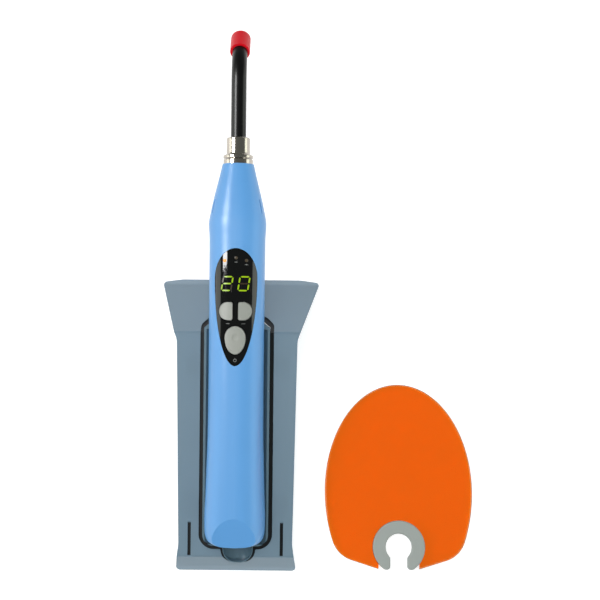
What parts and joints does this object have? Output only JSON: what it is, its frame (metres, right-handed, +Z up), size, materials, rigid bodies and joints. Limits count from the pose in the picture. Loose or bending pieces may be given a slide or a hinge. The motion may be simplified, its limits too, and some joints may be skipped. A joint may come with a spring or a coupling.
{
  "type": "dental curing light",
  "caption": "Pen-shaped cordless dental curing light with a turning bent light guide, lying in a low desk stand, with its loose oval light shield beside it.",
  "frame": {"origin": "middle of the stand's front foot, on the desk", "axes": "+Z up from the desk, +Y from the handpiece's tail towards its head, +X to the right of the control panel"},
  "size_m": [0.172, 0.2835, 0.0763],
  "materials": {
    "smoke_plastic": "smoky blue-grey moulded plastic, satin gloss",
    "trough_plastic": "smoky blue-grey moulded plastic",
    "black_rubber": "matte black gasket",
    "steel": "zinc plated",
    "blue_casing": "satin light blue",
    "black_lens": "polished black window",
    "board_green": "solder mask",
    "black_plastic": "matte black",
    "display_module": "dark display block",
    "lamp_amber": "clear epoxy lamps",
    "chip_black": "moulded chips",
    "cell_wrap": "heat-shrink wrap",
    "white_plastic": "natural moulded",
    "nickel": "nickel plated",
    "heat_sink_aluminium": "machined",
    "board_white": "white metal-core board",
    "led_dome": "clear dome",
    "reflector": "mirror cup",
    "clear_glass": "polished",
    "chrome_ring": "polished",
    "lead_insulation": "insulated lead",
    "chrome_ferrule": "polished with turning marks",
    "guide_glass": "fused fibre rod",
    "black_sheath": "polished black",
    "red_silicone": "satin silicone",
    "key_grey": "satin moulded keys",
    "orange_acrylic": "transparent orange filter sheet",
    "grey_elastomer": "satin elastomer"
  },
  "bodies": {
    "stand": {"stand_shell": "smoke_plastic", "cradle_trough": "trough_plastic", "trough_gasket": "black_rubber", "groove_inlays": "black_rubber", "trough_screws": "steel"},
    "handpiece": {"front_casing": "blue_casing", "rear_casing": "blue_casing", "display_lens": "black_lens", "circuit_board": "board_green", "board_screws": "steel", "tact_switches": "black_plastic", "digit_display": "display_module", "status_leds": "lamp_amber", "board_components": "chip_black", "buzzer": "black_plastic", "battery_cell": "cell_wrap", "battery_cradle": "white_plastic", "battery_contacts": "nickel", "charging_socket": "black_plastic", "casing_screws": "steel", "heat_sink": "heat_sink_aluminium", "led_board": "board_white", "led_emitter": "led_dome", "reflector_cup": "reflector", "collimator_lens": "clear_glass", "head_ring": "chrome_ring", "internal_leads": "lead_insulation"},
    "guide_seat": {"retaining_ring": "steel"},
    "light_guide": {"guide_ferrule": "chrome_ferrule", "guide_rod": "guide_glass", "guide_sheath": "black_sheath"},
    "tip_cap": {"tip_cap": "red_silicone"},
    "mode_button": {"mode_button": "key_grey"},
    "time_button": {"time_button": "key_grey"},
    "power_button": {"power_button": "key_grey"},
    "shield": {"shield_plate": "orange_acrylic", "shield_clip": "grey_elastomer"}
  },
  "joints": [
    {"name": "handpiece_lift", "type": "slide", "parent": "stand", "child": "handpiece", "axis": [0, -0.2079, 0.9781], "range_m": [0, 0.08]},
    {"name": "guide_turn", "type": "hinge", "parent": "handpiece", "child": "guide_seat", "pos_m": [0, 0.2041, 0.06204], "axis": [0, 0.9781, 0.2079], "continuous": true},
    {"name": "guide_pull", "type": "slide", "parent": "guide_seat", "child": "light_guide", "axis": [0, 0.9781, 0.2079], "range_m": [0, 0.016]},
    {"name": "cap_pull", "type": "slide", "parent": "light_guide", "child": "tip_cap", "axis": [0, 0.8572, -0.515], "range_m": [0, 0.014]},
    {"name": "mode_press", "type": "slide", "parent": "handpiece", "child": "mode_button", "axis": [0, 0.2079, -0.9781], "range_m": [0, 0.0005], "stiffness_N_per_m": 800},
    {"name": "time_press", "type": "slide", "parent": "handpiece", "child": "time_button", "axis": [0, 0.2079, -0.9781], "range_m": [0, 0.0005], "stiffness_N_per_m": 800},
    {"name": "power_press", "type": "slide", "parent": "handpiece", "child": "power_button", "axis": [0, 0.2079, -0.9781], "range_m": [0, 0.0005], "stiffness_N_per_m": 800},
    {"name": "shield_lift", "type": "slide", "parent": "stand", "child": "shield", "axis": [0, 0, 1], "range_m": [0, 0.06]}
  ]
}
